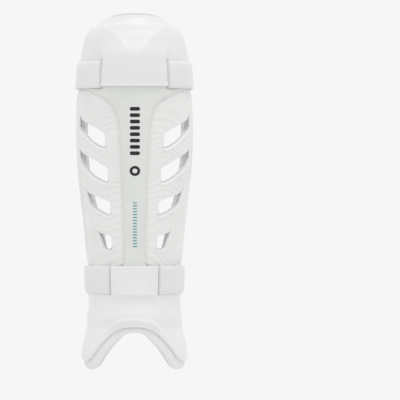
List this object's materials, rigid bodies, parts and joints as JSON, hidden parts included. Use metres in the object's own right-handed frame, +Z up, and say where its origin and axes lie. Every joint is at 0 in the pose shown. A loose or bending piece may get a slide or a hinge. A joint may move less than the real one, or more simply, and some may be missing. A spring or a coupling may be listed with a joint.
{
  "type": "shin guard",
  "caption": "Curved hard shin shell with side vents, a raised centre rib, a domed knee end, a flared ankle end, a foam liner and hook-and-loop straps across the open back.",
  "frame": {"origin": "bottom centre of the bounding box of the closed guard, worn upright", "axes": "+Z up the shin, the front of the guard faces -Y, +X to the right seen from the front"},
  "size_m": [0.1086, 0.1243, 0.3219],
  "materials": {
    "plate_plastic": "white moulded polypropylene, satin with a fine contour relief",
    "spine_plastic": "off-white moulded polypropylene, satin",
    "cover_plastic": "white moulded polypropylene, semi-gloss",
    "liner_foam": "white closed-cell foam, matte",
    "liner_fabric": "white brushed knit facing",
    "rivet_metal": "plain flush rivet",
    "strap_webbing": "white elastic webbing, woven",
    "loop_pile": "white loop pile",
    "hook_tape": "white hook tape",
    "tab_rubber": "white moulded soft tab"
  },
  "bodies": {
    "guard": {"shin_plate": "plate_plastic", "spine_rib": "spine_plastic", "knee_cap": "cover_plastic", "ankle_guard": "cover_plastic", "liner_foam": "liner_foam", "liner_facing": "liner_fabric", "liner_hook_centre": "hook_tape", "liner_loop_centre": "loop_pile", "liner_hook_left": "hook_tape", "liner_loop_left": "loop_pile", "liner_hook_right": "hook_tape", "liner_loop_right": "loop_pile", "upper_rivet_left_front": "rivet_metal", "upper_rivet_left_rear": "rivet_metal", "upper_rivet_right_front": "rivet_metal", "upper_rivet_right_rear": "rivet_metal", "lower_rivet_left_front": "rivet_metal", "lower_rivet_left_rear": "rivet_metal", "lower_rivet_right_front": "rivet_metal", "lower_rivet_right_rear": "rivet_metal", "upper_strap": "strap_webbing", "upper_loop_patch": "loop_pile", "lower_strap": "strap_webbing", "lower_loop_patch": "loop_pile"},
    "upper_tail": {"upper_strap_tail": "strap_webbing"},
    "upper_end": {"upper_strap_end": "strap_webbing", "upper_hook_patch": "hook_tape", "upper_pull_tab": "tab_rubber"},
    "lower_tail": {"lower_strap_tail": "strap_webbing"},
    "lower_end": {"lower_strap_end": "strap_webbing", "lower_hook_patch": "hook_tape", "lower_pull_tab": "tab_rubber"}
  },
  "joints": [
    {"name": "upper_swing", "type": "hinge", "parent": "guard", "child": "upper_tail", "pos_m": [-0.05013, 0.02669, 0.2652], "axis": [0.1315, 0.0053, 0.9913], "range_deg": [0, 120]},
    {"name": "upper_peel", "type": "hinge", "parent": "upper_tail", "child": "upper_end", "pos_m": [0.00425, 0.06207, 0.2652], "axis": [-0.0118, -0.0057, 0.9999], "range_deg": [0, 75]},
    {"name": "lower_swing", "type": "hinge", "parent": "guard", "child": "lower_tail", "pos_m": [-0.0329, 0.02881, 0.0806], "axis": [-0.0226, 0.007, 0.9997], "range_deg": [0, 120]},
    {"name": "lower_peel", "type": "hinge", "parent": "lower_tail", "child": "lower_end", "pos_m": [0.00246, 0.04813, 0.0806], "axis": [0.0004, -0.0164, 0.9999], "range_deg": [0, 75]}
  ]
}
